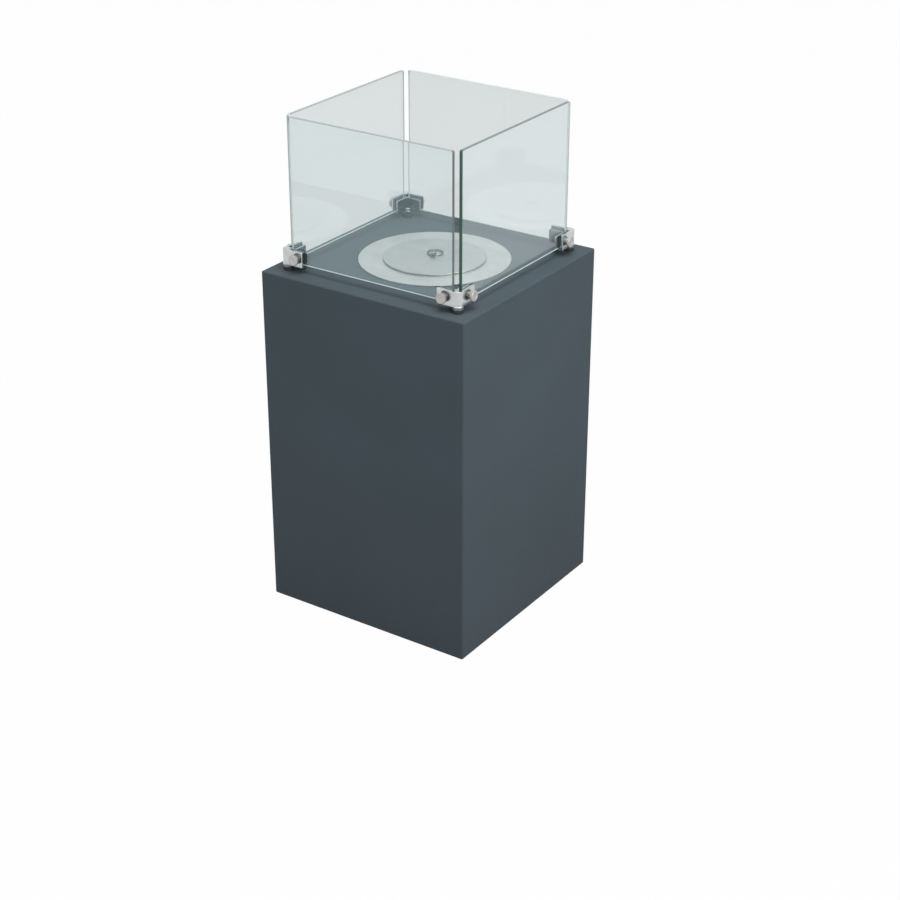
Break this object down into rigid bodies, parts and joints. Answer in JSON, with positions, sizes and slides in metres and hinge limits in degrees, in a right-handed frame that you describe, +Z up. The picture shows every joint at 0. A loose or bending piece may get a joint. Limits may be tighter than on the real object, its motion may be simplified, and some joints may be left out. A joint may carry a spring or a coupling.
{
  "type": "bioethanol fireplace",
  "caption": "Square cast pedestal with a drop-in ethanol burner, lid with ring pull, and glass wind guard panes held in corner clamps with thumbscrews.",
  "frame": {"origin": "on the floor under the middle of the pedestal", "axes": "+Z up, +X to the right and -Y to the front, square to the pedestal's sides"},
  "size_m": [0.35, 0.35, 0.7628],
  "materials": {
    "cast_concrete": "matt anthracite fibre concrete with a fine grain",
    "black_rubber": "matt",
    "clear_glass": "clear toughened glass with ground green edges",
    "satin_steel": "satin cast stainless steel",
    "thumbscrew_steel": "turned and knurled stainless steel",
    "zinc_steel": "zinc plated steel",
    "bright_steel": "polished stainless steel",
    "burner_steel": "satin sheet stainless steel",
    "ceramic_wool": "soft white mineral fibre"
  },
  "bodies": {
    "pedestal": {"pedestal_shell": "cast_concrete", "glide_front_right": "black_rubber", "glide_back_right": "black_rubber", "glide_back_left": "black_rubber", "glide_front_left": "black_rubber", "clamp_front_right": "satin_steel", "foot_rubber_front_right": "black_rubber", "inner_rubber_front_right": "black_rubber", "fixing_screw_front_right": "bright_steel", "fixing_nut_front_right": "zinc_steel", "outer_rubber_front_right_a": "black_rubber", "outer_rubber_front_right_b": "black_rubber", "clamp_back_right": "satin_steel", "foot_rubber_back_right": "black_rubber", "inner_rubber_back_right": "black_rubber", "fixing_screw_back_right": "bright_steel", "fixing_nut_back_right": "zinc_steel", "outer_rubber_back_right_a": "black_rubber", "outer_rubber_back_right_b": "black_rubber", "clamp_back_left": "satin_steel", "foot_rubber_back_left": "black_rubber", "inner_rubber_back_left": "black_rubber", "fixing_screw_back_left": "bright_steel", "fixing_nut_back_left": "zinc_steel", "outer_rubber_back_left_a": "black_rubber", "outer_rubber_back_left_b": "black_rubber", "clamp_front_left": "satin_steel", "foot_rubber_front_left": "black_rubber", "inner_rubber_front_left": "black_rubber", "fixing_screw_front_left": "bright_steel", "fixing_nut_front_left": "zinc_steel", "outer_rubber_front_left_a": "black_rubber", "outer_rubber_front_left_b": "black_rubber"},
    "front_pane": {"front_glass_pane": "clear_glass"},
    "right_pane": {"right_glass_pane": "clear_glass"},
    "back_pane": {"back_glass_pane": "clear_glass"},
    "left_pane": {"left_glass_pane": "clear_glass"},
    "pad_front_right_a": {"pressure_pad_front_right_a": "zinc_steel"},
    "thumb_front_right_a": {"thumbscrew_front_right_a": "thumbscrew_steel"},
    "pad_front_right_b": {"pressure_pad_front_right_b": "zinc_steel"},
    "thumb_front_right_b": {"thumbscrew_front_right_b": "thumbscrew_steel"},
    "pad_back_right_a": {"pressure_pad_back_right_a": "zinc_steel"},
    "thumb_back_right_a": {"thumbscrew_back_right_a": "thumbscrew_steel"},
    "pad_back_right_b": {"pressure_pad_back_right_b": "zinc_steel"},
    "thumb_back_right_b": {"thumbscrew_back_right_b": "thumbscrew_steel"},
    "pad_back_left_a": {"pressure_pad_back_left_a": "zinc_steel"},
    "thumb_back_left_a": {"thumbscrew_back_left_a": "thumbscrew_steel"},
    "pad_back_left_b": {"pressure_pad_back_left_b": "zinc_steel"},
    "thumb_back_left_b": {"thumbscrew_back_left_b": "thumbscrew_steel"},
    "pad_front_left_a": {"pressure_pad_front_left_a": "zinc_steel"},
    "thumb_front_left_a": {"thumbscrew_front_left_a": "thumbscrew_steel"},
    "pad_front_left_b": {"pressure_pad_front_left_b": "zinc_steel"},
    "thumb_front_left_b": {"thumbscrew_front_left_b": "thumbscrew_steel"},
    "burner": {"burner_can": "burner_steel", "ceramic_wool": "ceramic_wool", "wool_screen": "burner_steel"},
    "lid": {"burner_lid": "burner_steel", "handle_clip": "burner_steel"},
    "ring": {"lid_ring": "bright_steel"}
  },
  "joints": [
    {"name": "front_pane_lift", "type": "slide", "parent": "pedestal", "child": "front_pane", "axis": [0, 0, 1], "range_m": [0, 0.24]},
    {"name": "right_pane_lift", "type": "slide", "parent": "pedestal", "child": "right_pane", "axis": [0, 0, 1], "range_m": [0, 0.24]},
    {"name": "back_pane_lift", "type": "slide", "parent": "pedestal", "child": "back_pane", "axis": [0, 0, 1], "range_m": [0, 0.24]},
    {"name": "left_pane_lift", "type": "slide", "parent": "pedestal", "child": "left_pane", "axis": [0, 0, 1], "range_m": [0, 0.24]},
    {"name": "pad_slide_front_right_a", "type": "slide", "parent": "pedestal", "child": "pad_front_right_a", "axis": [0, -1, 0], "range_m": [0, 0.002]},
    {"name": "thumb_turn_front_right_a", "type": "hinge", "parent": "pad_front_right_a", "child": "thumb_front_right_a", "pos_m": [0.1275, -0.1475, 0.5568], "axis": [0, -1, 0], "range_deg": [0, 720]},
    {"name": "pad_slide_front_right_b", "type": "slide", "parent": "pedestal", "child": "pad_front_right_b", "axis": [1, 0, 0], "range_m": [0, 0.002]},
    {"name": "thumb_turn_front_right_b", "type": "hinge", "parent": "pad_front_right_b", "child": "thumb_front_right_b", "pos_m": [0.1475, -0.1275, 0.5568], "axis": [1, 0, 0], "range_deg": [0, 720]},
    {"name": "pad_slide_back_right_a", "type": "slide", "parent": "pedestal", "child": "pad_back_right_a", "axis": [1, 0, 0], "range_m": [0, 0.002]},
    {"name": "thumb_turn_back_right_a", "type": "hinge", "parent": "pad_back_right_a", "child": "thumb_back_right_a", "pos_m": [0.1475, 0.1275, 0.5568], "axis": [1, 0, 0], "range_deg": [0, 720]},
    {"name": "pad_slide_back_right_b", "type": "slide", "parent": "pedestal", "child": "pad_back_right_b", "axis": [0, 1, 0], "range_m": [0, 0.002]},
    {"name": "thumb_turn_back_right_b", "type": "hinge", "parent": "pad_back_right_b", "child": "thumb_back_right_b", "pos_m": [0.1275, 0.1475, 0.5568], "axis": [0, 1, 0], "range_deg": [0, 720]},
    {"name": "pad_slide_back_left_a", "type": "slide", "parent": "pedestal", "child": "pad_back_left_a", "axis": [0, 1, 0], "range_m": [0, 0.002]},
    {"name": "thumb_turn_back_left_a", "type": "hinge", "parent": "pad_back_left_a", "child": "thumb_back_left_a", "pos_m": [-0.1275, 0.1475, 0.5568], "axis": [0, 1, 0], "range_deg": [0, 720]},
    {"name": "pad_slide_back_left_b", "type": "slide", "parent": "pedestal", "child": "pad_back_left_b", "axis": [-1, 0, 0], "range_m": [0, 0.002]},
    {"name": "thumb_turn_back_left_b", "type": "hinge", "parent": "pad_back_left_b", "child": "thumb_back_left_b", "pos_m": [-0.1475, 0.1275, 0.5568], "axis": [-1, 0, 0], "range_deg": [0, 720]},
    {"name": "pad_slide_front_left_a", "type": "slide", "parent": "pedestal", "child": "pad_front_left_a", "axis": [-1, 0, 0], "range_m": [0, 0.002]},
    {"name": "thumb_turn_front_left_a", "type": "hinge", "parent": "pad_front_left_a", "child": "thumb_front_left_a", "pos_m": [-0.1475, -0.1275, 0.5568], "axis": [-1, 0, 0], "range_deg": [0, 720]},
    {"name": "pad_slide_front_left_b", "type": "slide", "parent": "pedestal", "child": "pad_front_left_b", "axis": [0, -1, 0], "range_m": [0, 0.002]},
    {"name": "thumb_turn_front_left_b", "type": "hinge", "parent": "pad_front_left_b", "child": "thumb_front_left_b", "pos_m": [-0.1275, -0.1475, 0.5568], "axis": [0, -1, 0], "range_deg": [0, 720]},
    {"name": "burner_lift", "type": "slide", "parent": "pedestal", "child": "burner", "axis": [0, 0, 1], "range_m": [0, 0.32]},
    {"name": "lid_lift", "type": "slide", "parent": "burner", "child": "lid", "axis": [0, 0, 1], "range_m": [0, 0.26]},
    {"name": "ring_flip", "type": "hinge", "parent": "lid", "child": "ring", "pos_m": [0.003, 0.0055, 0.5419], "axis": [0.9336, 0.3584, 0], "range_deg": [0, 180]}
  ],
  "couplings": [
    {"joint": "thumb_turn_front_right_a", "follows": "pad_slide_front_right_a", "rad_per_m": 6283.2},
    {"joint": "thumb_turn_front_right_b", "follows": "pad_slide_front_right_b", "rad_per_m": 6283.2},
    {"joint": "thumb_turn_back_right_a", "follows": "pad_slide_back_right_a", "rad_per_m": 6283.2},
    {"joint": "thumb_turn_back_right_b", "follows": "pad_slide_back_right_b", "rad_per_m": 6283.2},
    {"joint": "thumb_turn_back_left_a", "follows": "pad_slide_back_left_a", "rad_per_m": 6283.2},
    {"joint": "thumb_turn_back_left_b", "follows": "pad_slide_back_left_b", "rad_per_m": 6283.2},
    {"joint": "thumb_turn_front_left_a", "follows": "pad_slide_front_left_a", "rad_per_m": 6283.2},
    {"joint": "thumb_turn_front_left_b", "follows": "pad_slide_front_left_b", "rad_per_m": 6283.2}
  ]
}
